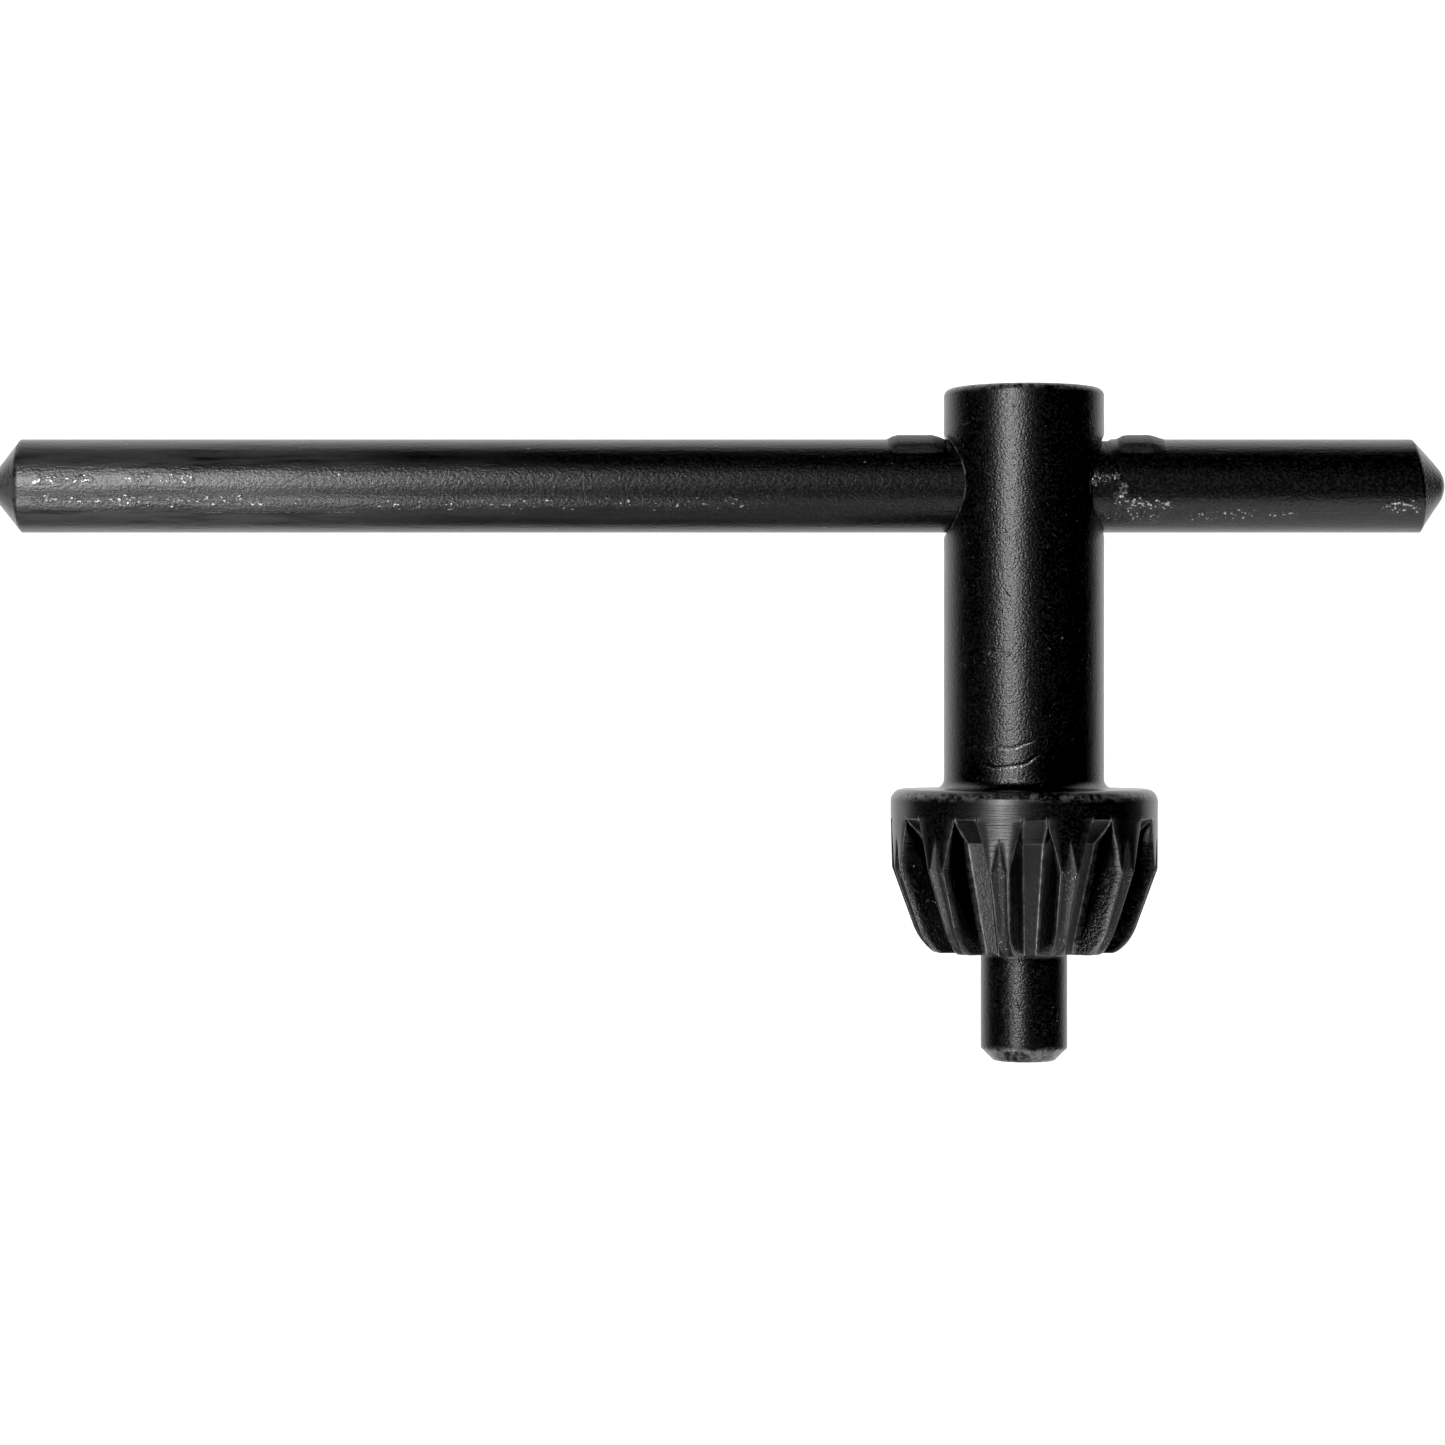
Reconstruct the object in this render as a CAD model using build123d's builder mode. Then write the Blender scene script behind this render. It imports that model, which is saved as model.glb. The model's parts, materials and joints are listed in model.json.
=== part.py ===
from build123d import *
import os
from math import cos, radians, sin, tan

# Drill chuck key, in millimetres.
# Origin: centre of the pilot's flat end. +Z runs up the key's axis to the handle,
# +X runs along the handle bar, whose long arm points to -X.

# ---- heights along the key's axis ----
PINION_BOTTOM_Z = 8.15
CONE_FOOT_Z = 10.0
CONE_TOP_Z = 14.4
COLLAR_TOP_Z = 20.34
HANDLE_Z = 43.03
SHANK_TOP_Z = 50.3

# ---- round sizes of the key body ----
PILOT_DIAMETER = 6.5
SHANK_DIAMETER = 12.0
COLLAR_DIAMETER = 20.0
CONE_ANGLE = 20.0
NOSE_RADIUS = 6.95
PILOT_CHAMFER = 0.95
SHANK_TOP_ROUNDING = 0.55
COLLAR_ROUNDING = 0.9
SHANK_ROOT_FILLET = 0.75

# ---- pinion teeth ----
TOOTH_COUNT = 12
SLOT_MOUTH = 10.8
FLANK_BULGE = 0.10
# Level cuts through a tooth slot, from its run-out on the collar down past the
# pinion's bottom face: height, distance of the floor from the key's axis,
# half width of the floor, half width at SLOT_MOUTH from the axis
SLOT_LEVELS = [
    (18.35, 10.17, 1.00, 1.14),
    (16.44, 8.00, 0.77, 1.79),
    (14.40, 7.39, 0.69, 2.47),
    (11.70, 6.58, 0.58, 2.95),
    (7.90, 5.43, 0.43, 3.79),
]
# Level cuts through the groove along a tooth's crest: height, distance of the
# floor from the key's axis, half width of the floor. Its walls lean out at 45 degrees.
GROOVE_LEVELS = [
    (16.70, 9.98, 0.02),
    (14.40, 9.68, 0.22),
    (11.70, 8.76, 0.16),
    (10.00, 8.16, 0.14),
    (7.90, 6.90, 0.13),
]
GROOVE_WALL = 1.0

# ---- handle bar ----
BAR_DIAMETER = 7.0
BORE_DIAMETER = 7.1
BORE_MOUTH_ROUNDING = 0.4
LONG_ARM_SHOULDER_X = -75.1
SHORT_ARM_SHOULDER_X = 29.3
BAR_END_HALF_ANGLE = 51.0
BAR_TIP_ROUNDING = 2.2

# ---- staked ears, which keep the bar from sliding out ----
EAR_HEIGHT = 0.35
EAR_SPREAD = 104.0
EAR_ROOT_DEPTH = 0.5
# along X: inboard foot, the two ends of the flat, outboard foot
LONG_ARM_EAR = (-6.06, -6.9, -9.5, -10.3)
SHORT_ARM_EAR = (6.35, 7.4, 9.55, 10.5)

pilot_radius = PILOT_DIAMETER / 2
shank_radius = SHANK_DIAMETER / 2
collar_radius = COLLAR_DIAMETER / 2
bore_radius = BORE_DIAMETER / 2
bar_radius = BAR_DIAMETER / 2
cone_foot_radius = collar_radius - (CONE_TOP_Z - CONE_FOOT_Z) * tan(radians(CONE_ANGLE))
handle_axis = Axis((0, 0, HANDLE_Z), (1, 0, 0))


def slot_section(height, floor_distance, floor_half_width, mouth_half_width):
    """A level cut through the tooth slot on the +X side: flat floor, bulged flanks."""
    middle_distance = (floor_distance + SLOT_MOUTH) / 2
    middle_half_width = (floor_half_width + mouth_half_width) / 2 - FLANK_BULGE
    with BuildSketch(Plane.XY.offset(height)) as section:
        with BuildLine():
            Line((floor_distance, -floor_half_width), (floor_distance, floor_half_width))
            ThreePointArc(
                (floor_distance, floor_half_width),
                (middle_distance, middle_half_width),
                (SLOT_MOUTH, mouth_half_width),
            )
            Line((SLOT_MOUTH, mouth_half_width), (SLOT_MOUTH, -mouth_half_width))
            ThreePointArc(
                (SLOT_MOUTH, -mouth_half_width),
                (middle_distance, -middle_half_width),
                (floor_distance, -floor_half_width),
            )
        make_face()
    return section.sketch


def groove_section(height, floor_distance, floor_half_width):
    """A level cut through the crest groove on the +X side: flat floor, leaning walls."""
    mouth_half_width = floor_half_width + GROOVE_WALL
    with BuildSketch(Plane.XY.offset(height)) as section:
        with BuildLine():
            Polyline(
                (floor_distance, -floor_half_width),
                (floor_distance, floor_half_width),
                (floor_distance + GROOVE_WALL, mouth_half_width),
                (floor_distance + GROOVE_WALL, -mouth_half_width),
                close=True,
            )
        make_face()
    return section.sketch


def bar_end(shoulder_x, outward):
    """A bar end's outline: shoulder, start of the round tip, tip, and the cone's slope."""
    half_angle = radians(BAR_END_HALF_ANGLE)
    apex_x = shoulder_x + outward * bar_radius / tan(half_angle)
    tip_centre_x = apex_x - outward * BAR_TIP_ROUNDING / sin(half_angle)
    shoulder = (shoulder_x, bar_radius)
    round_start = (
        tip_centre_x + outward * BAR_TIP_ROUNDING * sin(half_angle),
        BAR_TIP_ROUNDING * cos(half_angle),
    )
    tip = (tip_centre_x + outward * BAR_TIP_ROUNDING, 0)
    slope = (outward * cos(half_angle), -sin(half_angle))
    return shoulder, round_start, tip, slope


# Cutter for one tooth slot, on the +X side
slot_sections = [slot_section(*level) for level in SLOT_LEVELS]
with BuildPart() as slot_cutter:
    loft(slot_sections, ruled=True)

# Cutter for one crest groove, on the +X side
groove_sections = [groove_section(*level) for level in GROOVE_LEVELS]
with BuildPart() as groove_cutter:
    loft(groove_sections, ruled=True)

# Key body: shank, collar, bevel pinion and pilot, forged in one piece
with BuildPart() as key_body:
    with BuildSketch(Plane.XZ):
        with BuildLine():
            Polyline(
                (NOSE_RADIUS, PINION_BOTTOM_Z),
                (pilot_radius, PINION_BOTTOM_Z),
                (pilot_radius, PILOT_CHAMFER),
                (pilot_radius - PILOT_CHAMFER, 0),
                (0, 0),
                (0, SHANK_TOP_Z),
                (shank_radius, SHANK_TOP_Z),
                (shank_radius, COLLAR_TOP_Z),
                (collar_radius, COLLAR_TOP_Z),
                (collar_radius, CONE_TOP_Z),
                (cone_foot_radius, CONE_FOOT_Z),
            )
            TangentArc(
                (cone_foot_radius, CONE_FOOT_Z),
                (NOSE_RADIUS, PINION_BOTTOM_Z),
                tangent=(-sin(radians(CONE_ANGLE)), -cos(radians(CONE_ANGLE))),
            )
        make_face()
    revolve(axis=Axis.Z)

    # Round the rims before the cuts, while each is still a whole circle
    fillet(key_body.faces().sort_by(Axis.Z)[-1].edges(), SHANK_TOP_ROUNDING)
    collar_rims = key_body.edges().filter_by_position(Axis.Z, COLLAR_TOP_Z, COLLAR_TOP_Z)
    inner_rim, outer_rim = collar_rims.sort_by(SortBy.RADIUS)
    fillet(outer_rim, COLLAR_ROUNDING)
    fillet(inner_rim, SHANK_ROOT_FILLET)

    with PolarLocations(0, TOOTH_COUNT):
        add(slot_cutter.part, mode=Mode.SUBTRACT)
    with PolarLocations(0, TOOTH_COUNT, start_angle=180 / TOOTH_COUNT):
        add(groove_cutter.part, mode=Mode.SUBTRACT)

    # Cross hole for the handle bar, with both mouths rounded
    with Locations(Plane(origin=(0, 0, HANDLE_Z), x_dir=(0, 1, 0), z_dir=(1, 0, 0))):
        Hole(bore_radius)
    bore_wall = key_body.faces().sort_by_distance(Vertex(0, 0, HANDLE_Z - bore_radius))[0]
    fillet(bore_wall.edges().filter_by(GeomType.LINE, reverse=True), BORE_MOUTH_ROUNDING)

key_body.part.label = "key_body"

# Handle bar: drawn round bar, coned at both ends, with two ears staked up on its top
with BuildPart() as handle_bar:
    long_shoulder, long_round, long_tip, long_slope = bar_end(LONG_ARM_SHOULDER_X, -1)
    short_shoulder, short_round, short_tip, short_slope = bar_end(SHORT_ARM_SHOULDER_X, 1)
    with BuildSketch(Plane(origin=(0, 0, HANDLE_Z), x_dir=(1, 0, 0), z_dir=(0, -1, 0))):
        with BuildLine():
            Polyline(long_round, long_shoulder, short_shoulder, short_round)
            TangentArc(short_round, short_tip, tangent=short_slope)
            Line(short_tip, long_tip)
            TangentArc(long_round, long_tip, tangent=long_slope)
        make_face()
    revolve(axis=handle_axis)

    # Each ear is swept round the bar's axis, from one side of the top to the other
    half_spread = radians(EAR_SPREAD / 2)
    ear_start = Plane(
        origin=(0, 0, HANDLE_Z),
        x_dir=(1, 0, 0),
        z_dir=(0, -cos(half_spread), sin(half_spread)),
    )
    for inboard_foot, flat_start, flat_end, outboard_foot in (LONG_ARM_EAR, SHORT_ARM_EAR):
        with BuildSketch(ear_start):
            with BuildLine():
                Polyline(
                    (inboard_foot, bar_radius - EAR_ROOT_DEPTH),
                    (inboard_foot, bar_radius),
                    (flat_start, bar_radius + EAR_HEIGHT),
                    (flat_end, bar_radius + EAR_HEIGHT),
                    (outboard_foot, bar_radius),
                    (outboard_foot, bar_radius - EAR_ROOT_DEPTH),
                    close=True,
                )
            make_face()
        revolve(axis=handle_axis, revolution_arc=EAR_SPREAD)

handle_bar.part.label = "handle_bar"

os.makedirs("parts", exist_ok=True)
export_step(key_body.part, "parts/key_body.step")
export_step(handle_bar.part, "parts/handle_bar.step")
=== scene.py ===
import json
import math

import bpy
import numpy as np
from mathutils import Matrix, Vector, noise


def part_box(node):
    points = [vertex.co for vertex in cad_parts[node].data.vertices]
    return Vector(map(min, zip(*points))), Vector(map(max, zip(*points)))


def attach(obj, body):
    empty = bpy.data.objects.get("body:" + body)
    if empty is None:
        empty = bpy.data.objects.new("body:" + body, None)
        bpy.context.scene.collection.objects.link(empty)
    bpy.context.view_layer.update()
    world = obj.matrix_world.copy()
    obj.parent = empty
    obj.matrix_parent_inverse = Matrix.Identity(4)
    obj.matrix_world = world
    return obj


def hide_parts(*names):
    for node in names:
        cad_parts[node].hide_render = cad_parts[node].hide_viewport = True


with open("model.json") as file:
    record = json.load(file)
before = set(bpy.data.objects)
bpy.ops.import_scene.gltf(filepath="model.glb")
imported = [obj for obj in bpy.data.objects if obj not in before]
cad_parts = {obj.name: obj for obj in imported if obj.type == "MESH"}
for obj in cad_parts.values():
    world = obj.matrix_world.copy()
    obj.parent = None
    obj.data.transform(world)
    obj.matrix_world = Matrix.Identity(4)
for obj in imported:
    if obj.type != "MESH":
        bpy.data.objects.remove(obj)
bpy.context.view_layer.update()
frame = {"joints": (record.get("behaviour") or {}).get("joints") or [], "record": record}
scene = bpy.context.scene

# ------------------------------------------------------------------ sizes from the frame
mounts = {m["name"]: m for m in frame["record"]["mounts"]}
key_low, key_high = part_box("key_body")

PILOT_R = mounts["pilot"]["dims"]["r_mm"] / 1000
BAR_R = mounts["long_arm"]["dims"]["r_mm"] / 1000
COLLAR_R = (key_high.x - key_low.x) / 2
TOP_Z = key_high.z
HANDLE_Z = frame["joints"][0]["pos_m"][2]

# ------------------------------------------------------------------ sizes of the key body, metres
SHANK_R = 0.006
BORE_R = 0.00355
BORE_MOUTH = 0.0004
PINION_Z = 0.00815
CONE_FOOT_Z = 0.010
CONE_TOP_Z = 0.0144
COLLAR_TOP_Z = 0.02034
CONE_ANGLE = math.radians(20)
CONE_FOOT_R = COLLAR_R - (CONE_TOP_Z - CONE_FOOT_Z) * math.tan(CONE_ANGLE)
NOSE_ARC_R = 0.00374
PILOT_CHAMFER = 0.00095
TOP_ROUNDING = 0.00055
COLLAR_ROUNDING = 0.0009
ROOT_FILLET = 0.00075
EDGE_ROUNDING = 0.00013

TEETH = 12
SECTOR = 2 * math.pi / TEETH
SLOT_MOUTH = 0.0108
FLANK_BULGE = 0.0001
# tooth slot: height, floor distance, floor half width, half width at the mouth
SLOT_LEVELS = np.array([
    (0.00790, 0.00543, 0.00043, 0.00379),
    (0.01170, 0.00658, 0.00058, 0.00295),
    (0.01440, 0.00739, 0.00069, 0.00247),
    (0.01644, 0.00800, 0.00077, 0.00179),
    (0.01835, 0.01017, 0.00100, 0.00114),
])
# crest groove: height, floor distance, floor half width
GROOVE_LEVELS = np.array([
    (0.00790, 0.00690, 0.00013),
    (0.01000, 0.00816, 0.00014),
    (0.01170, 0.00876, 0.00016),
    (0.01440, 0.00968, 0.00022),
    (0.01670, 0.00998, 0.00002),
    (0.01835, 0.01050, 0.00002),
])
SLOT_END_Z = SLOT_LEVELS[-1][0]
RUN_OUT_Z = SLOT_LEVELS[-2][0]
GROOVE_TOP_Z = 0.0166
# length of a groove's wall over its depth: the walls lean out at 45 degrees
GROOVE_LEAN = 1.42

# the pinion's outline: dense points on a floor and on a flank or crest, the even spacing
# that it is resampled at, how far its corners are rounded, and the step beside each corner
FLOOR_POINTS = 30
WALL_POINTS = 120
PATH_SPACING = 0.00002
CORNER_SPREAD = 0.000045
CORNER_STEP = 0.00006
# steps from a slot's middle to a crest's middle
HALF_COLUMNS = 18
COLUMNS = TEETH * HALF_COLUMNS * 2
EVEN = np.arange(COLUMNS) * 2 * math.pi / COLUMNS


def level_value(table, column, z):
    """A column of a table of level cuts at height z, with its kinks eased a little."""
    ease = 0.00007
    around = np.interp([z - ease, z, z, z + ease], table[:, 0], table[:, column])
    return float(around.mean())


def pinion_radius(z):
    """Radius of the blank that the teeth are cut in, at height z."""
    if z >= CONE_TOP_Z:
        return COLLAR_R
    if z >= CONE_FOOT_Z:
        return COLLAR_R - (CONE_TOP_Z - z) * math.tan(CONE_ANGLE)
    # arc tangent to the cone at its foot
    centre_r = CONE_FOOT_R - NOSE_ARC_R * math.cos(CONE_ANGLE)
    centre_z = CONE_FOOT_Z + NOSE_ARC_R * math.sin(CONE_ANGLE)
    return centre_r + math.sqrt(NOSE_ARC_R ** 2 - (centre_z - z) ** 2)


def eased_radius(z):
    """Radius of the blank at height z, with its kinks eased a little."""
    ease = 0.00008
    return (pinion_radius(z - ease) + 2 * pinion_radius(z) + pinion_radius(z + ease)) / 4


def half_sector(z):
    """The pinion's outline at height z from a slot's middle to the next crest's middle:
    dense points, and the arc lengths of its corners."""
    radius = eased_radius(z)
    floor, floor_w, mouth_w = (level_value(SLOT_LEVELS, c, z) for c in (1, 2, 3))
    floor_y = np.linspace(0, floor_w, FLOOR_POINTS)
    t = np.linspace(0, 1, WALL_POINTS)
    middle_x = (floor + SLOT_MOUTH) / 2
    middle_y = (floor_w + mouth_w) / 2 - FLANK_BULGE
    flank_x = (1 - t) ** 2 * floor + 2 * t * (1 - t) * middle_x + t ** 2 * SLOT_MOUTH
    pull_y = 2 * middle_y - (floor_w + mouth_w) / 2
    flank_y = (1 - t) ** 2 * floor_w + 2 * t * (1 - t) * pull_y + t ** 2 * mouth_w
    x = np.concatenate([np.full(FLOOR_POINTS, floor), flank_x])
    y = np.concatenate([floor_y, flank_y])
    angle, distance = np.arctan2(y, x), np.hypot(x, y)
    keep = angle < SECTOR / 2
    angle, distance = angle[keep], distance[keep]
    crest = np.linspace(angle[-1], SECTOR / 2, WALL_POINTS)[1:]
    angle = np.concatenate([angle, crest])
    distance = np.minimum(np.concatenate([distance, np.full(len(crest), 1.0)]), radius)
    rim = int(np.argmax(distance >= radius - 1e-9))

    groove_floor = level_value(GROOVE_LEVELS, 1, z)
    groove_w = level_value(GROOVE_LEVELS, 2, z)
    side = radius * np.sin(SECTOR / 2 - angle)
    groove = (groove_floor + np.maximum(0, side - groove_w)) / np.cos(SECTOR / 2 - angle)
    distance = np.where(angle > angle[rim], np.minimum(distance, groove), distance)
    points = np.stack([distance * np.cos(angle), distance * np.sin(angle)], axis=1)

    run = np.concatenate([[0], np.cumsum(np.hypot(*np.diff(points, axis=0).T))])
    total = run[-1]
    floor_corner = min(run[FLOOR_POINTS - 1], total * 0.3)
    rim_at = max(run[rim], floor_corner + 0.0003)
    wall = max(radius - groove_floor, 0.00004)
    groove_corner = total - groove_w - 0.00001
    groove_edge = max(groove_corner - GROOVE_LEAN * wall, rim_at + 0.00008)
    return points, run, (floor_corner, rim_at, groove_edge, max(groove_corner, groove_edge + 0.00002))


def smooth_path(points, run):
    """Resamples a half sector evenly and rounds its corners, as if mirrored at both ends."""
    count = int(run[-1] / PATH_SPACING) + 1
    at = np.linspace(0, run[-1], count)
    path = np.stack([np.interp(at, run, points[:, k]) for k in (0, 1)], axis=1)
    mirror_low = path[1:][::-1] * [1, -1]
    c, s = math.cos(SECTOR), math.sin(SECTOR)
    reflect = np.array([[c, s], [s, -c]])
    mirror_high = (path[:-1] @ reflect.T)[::-1]
    padded = np.concatenate([mirror_low, path, mirror_high])
    reach = int(3 * CORNER_SPREAD / PATH_SPACING)
    kernel = np.exp(-0.5 * (np.arange(-reach, reach + 1) * PATH_SPACING / CORNER_SPREAD) ** 2)
    kernel /= kernel.sum()
    smooth = np.stack([np.convolve(padded[:, k], kernel, mode="same") for k in (0, 1)], axis=1)
    low = len(mirror_low)
    return at, smooth[low:low + count]


def stations(total, corners):
    """Arc lengths of the outline's points from a slot's middle to a crest's middle."""
    c1, c2, c3, c4 = corners
    e1 = min(CORNER_STEP, c1 * 0.3)
    e2 = min(CORNER_STEP, (c2 - c1) * 0.25)
    e3 = min(CORNER_STEP, (c3 - c2) * 0.25)
    places = [0, c1 * 0.4, c1 * 0.75, c1 - e1, c1, c1 + e1]
    places += list(np.linspace(c1 + e1, c2 - e2, 6)[1:-1])
    places += [c2 - e2, c2, c2 + e3]
    places += [(c2 + c3) / 2, c3 - e3 * 0.5, c3 + min(CORNER_STEP, (c4 - c3) * 0.3)]
    places += [c4, (c4 + total) / 2, total]
    return np.array(places)


# marks that every vertex carries for the materials, each 0 to 1
# rim marks the rounded rims, which get bare flecks and a painted highlight of lighter grey
KEY_MARKS = ("floor", "edge", "groove", "burr", "flank", "rim")
FLOOR_SHARE = np.array([1, 1, 1, 1, 0.5] + [0] * 14)
FLANK_SHARE = np.array([0] * 4 + [0.5] + [1] * 6 + [0.5] + [0] * 7)
EDGE_SHARE = np.array([0, 0, 0, 0.3, 1, 0.3] + [0] * 4 + [0.1, 0.4, 0.1] + [0] * 6)
GROOVE_SHARE = np.array([0] * 14 + [0.1, 0.25, 0.8, 1, 1])
BURR_SHARE = np.array([0] * 13 + [0.5, 1, 1, 0.6, 0.2, 0.2])
# heights where the cutter tore burrs up beside the grooves, and how far they spread
BURRS = ((0.0142, 0.00040, 1.0), (0.0092, 0.00035, 0.9))


def pinion_ring(z, shrink=0.0):
    """The whole outline of the pinion at height z, COLUMNS points, pulled in by shrink."""
    points, run, corners = half_sector(z)
    at, smooth = smooth_path(points, run)
    places = stations(run[-1], corners)
    half = np.stack([np.interp(places, at, smooth[:, k]) for k in (0, 1)], axis=1)
    angle, distance = np.arctan2(half[:, 1], half[:, 0]), np.hypot(half[:, 0], half[:, 1])
    burr = max(level * math.exp(-((z - height) / spread) ** 2) for height, spread, level in BURRS)
    marks = np.stack([FLOOR_SHARE * (z < RUN_OUT_Z), EDGE_SHARE, GROOVE_SHARE * (z < GROOVE_TOP_Z),
                      BURR_SHARE * burr, FLANK_SHARE, np.zeros(HALF_COLUMNS + 1)], axis=1)
    half = np.column_stack([angle, distance - shrink, marks])
    mirrored = half[1:][::-1].copy()
    mirrored[:, 0] = SECTOR - mirrored[:, 0]
    sector = np.concatenate([half[:-1], mirrored])
    whole = np.tile(sector, (TEETH, 1))
    whole[:, 0] += np.repeat(np.arange(TEETH) * SECTOR, len(sector))
    return ring_points(whole[:, 1], whole[:, 0], z, whole[:, 2:])


def ring_points(distance, angle, z, marks=0.0):
    """Rows of x, y, z and the marks."""
    points = np.zeros((len(angle), 3 + len(KEY_MARKS)))
    points[:, 0] = distance * np.cos(angle)
    points[:, 1] = distance * np.sin(angle)
    points[:, 2] = z
    points[:, 3:] = marks
    return points


def round_ring(radius, z, blend=1.0, like=None, rim=0.0):
    """A plain circle; blend 0 keeps the column angles of another ring, 1 spaces them evenly."""
    angle = EVEN
    if like is not None:
        other = np.unwrap(np.arctan2(like[:, 1], like[:, 0]))
        angle = other * (1 - blend) + EVEN * blend
    return ring_points(radius, angle, z, (0, 0, 0, 0, 0, rim))


def pilot_rings():
    """Rings of the pilot from its end up to the pinion, with its chamfer."""
    rings = []
    end_r = PILOT_R - PILOT_CHAMFER
    for share in (0.3, 0.6, 0.85):
        rings.append(round_ring(end_r * share, 0.0))
    for r, z in ((end_r - 0.00006, 0.0), (end_r + 0.00003, 0.00003)):
        rings.append(round_ring(r, z, rim=0.8))
    for share in (0.25, 0.5, 0.75):
        rings.append(round_ring(end_r + share * PILOT_CHAMFER, share * PILOT_CHAMFER, rim=0.5))
    rings.append(round_ring(PILOT_R - 0.00004, PILOT_CHAMFER - 0.00006, rim=0.8))
    rings.append(round_ring(PILOT_R, PILOT_CHAMFER + 0.00006, rim=0.3))
    for z in np.linspace(PILOT_CHAMFER + 0.0003, PINION_Z - 0.0001, 18):
        rings.append(round_ring(PILOT_R, z))
    return rings


def tooth_rings():
    """Rings of the pinion from the inside of its bottom face up to the slots' ends."""
    rings = []
    first = pinion_ring(PINION_Z, EDGE_ROUNDING)
    root = round_ring(PILOT_R + 0.0001, PINION_Z)
    rings.append(root)
    for share in (0.3, 0.6, 0.85):
        rings.append(root * (1 - share) + first * share)
    rings.append(first)
    for a in np.radians((22.5, 45, 67.5, 90)):
        z = PINION_Z + EDGE_ROUNDING * (1 - math.cos(a))
        rings.append(pinion_ring(z, EDGE_ROUNDING * (1 - math.sin(a))))
    heights = list(np.linspace(PINION_Z + EDGE_ROUNDING, SLOT_END_Z, 62)[1:])
    for z, offsets in ((CONE_TOP_Z, (-0.00009, -0.00003, 0.00003, 0.00009)),
                       (RUN_OUT_Z, (-0.0001, -0.00004, 0.00004, 0.0001)),
                       (0.01820, (-0.00008, -0.00003, 0.00003, 0.00008))):
        heights = [h for h in heights if abs(h - z) > 0.00012]
        heights += [z + o for o in offsets]
    heights.sort()
    for z in heights:
        ring = pinion_ring(z)
        near_kink = max(0, 1 - abs(z - RUN_OUT_Z) / 0.00008)
        ring[:, 4] = np.maximum(ring[:, 4], 0.5 * near_kink * (ring[:, 3] > 0.4))
        rings.append(ring)
    rings[-1][:, 3:] *= 0.3
    return rings


def collar_rings(last):
    """Rings of the collar above the last tooth ring, easing to even columns, and its top."""
    rings = []
    collar = np.linspace(last[0, 2], COLLAR_TOP_Z - COLLAR_ROUNDING, 7)[1:]
    for k, z in enumerate(collar):
        rings.append(round_ring(COLLAR_R, z, (k + 1) / len(collar), last))
    for a, rim in ((15, 0.3), (30, 0.5), (45, 0.3), (60, 0.1), (75, 0), (90, 0)):
        a = math.radians(a)
        rings.append(round_ring(COLLAR_R - COLLAR_ROUNDING * (1 - math.cos(a)),
                                COLLAR_TOP_Z - COLLAR_ROUNDING * (1 - math.sin(a)), rim=rim))
    for share in (0.33, 0.66):
        r = COLLAR_R - COLLAR_ROUNDING
        rings.append(round_ring(r + (SHANK_R + ROOT_FILLET - r) * share, COLLAR_TOP_Z))
    for a in np.radians((0, 18, 36, 54, 72, 90)):
        rings.append(round_ring(SHANK_R + ROOT_FILLET * (1 - math.sin(a)),
                                COLLAR_TOP_Z + ROOT_FILLET * (1 - math.cos(a))))
    return rings


def shank_rings():
    """Rings of the shank, in close rows where the forging has laps and nicks, and its top."""
    rings = []
    shank = list(np.arange(COLLAR_TOP_Z + ROOT_FILLET + 0.0001, 0.0242, 0.00010))
    shank += list(np.arange(0.0243, 0.0297, 0.0006))
    shank += list(np.arange(0.0299, 0.0306, 0.00011))
    shank += list(np.arange(0.0309, TOP_Z - TOP_ROUNDING - 0.0002, 0.00055))
    for z in shank:
        rings.append(round_ring(SHANK_R, z))
    for a, rim in ((0, 0), (18, 0.2), (36, 0.6), (54, 1), (72, 0.8), (90, 0.2)):
        a = math.radians(a)
        rings.append(round_ring(SHANK_R - TOP_ROUNDING * (1 - math.cos(a)),
                                TOP_Z - TOP_ROUNDING * (1 - math.sin(a)), rim=rim))
    for share in (0.9, 0.6, 0.3):
        rings.append(round_ring((SHANK_R - TOP_ROUNDING) * share, TOP_Z))
    return rings


# forging laps and knocks on the shank's front: points (x, z) along each, half width, depth
SHANK_NICKS = (
    (((-0.0030, 0.02330), (-0.0023, 0.02345), (-0.0016, 0.02332), (-0.0010, 0.02345), (-0.0005, 0.02370),
      (0.0002, 0.02392)), 0.00008, 0.00005),
    (((-0.0034, 0.02215), (-0.0026, 0.02190), (-0.0018, 0.02200), (-0.0008, 0.02212), (-0.0002, 0.02232),
      (0.0004, 0.02280)), 0.00009, 0.00006),
    (((-0.0029, 0.03032), (-0.0023, 0.03024), (-0.0016, 0.03022)), 0.00010, 0.00008),
)
# scratches and bright flecks too fine for the mesh: start and end (x, z) on the front, half width
SHANK_SCRATCHES = (
    ((-0.00092, 0.04284), (-0.00040, 0.04318), 0.00005),
    ((-0.00243, 0.04812), (-0.00232, 0.04832), 0.00006),
    ((-0.00180, 0.03495), (-0.00148, 0.03458), 0.00006),
    ((-0.00110, 0.03890), (-0.00102, 0.03915), 0.00005),
    ((-0.00250, 0.04090), (-0.00246, 0.04105), 0.00006),
)
SHANK_FLECKS = (
    ((-0.00150, 0.02672), (-0.00128, 0.02680), 0.00006),
    ((-0.00108, 0.02683), (-0.00100, 0.02679), 0.00005),
    ((-0.00170, 0.02468), (-0.00125, 0.02482), 0.00006),
    ((-0.00200, 0.02602), (-0.00195, 0.02606), 0.00005),
)
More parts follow.
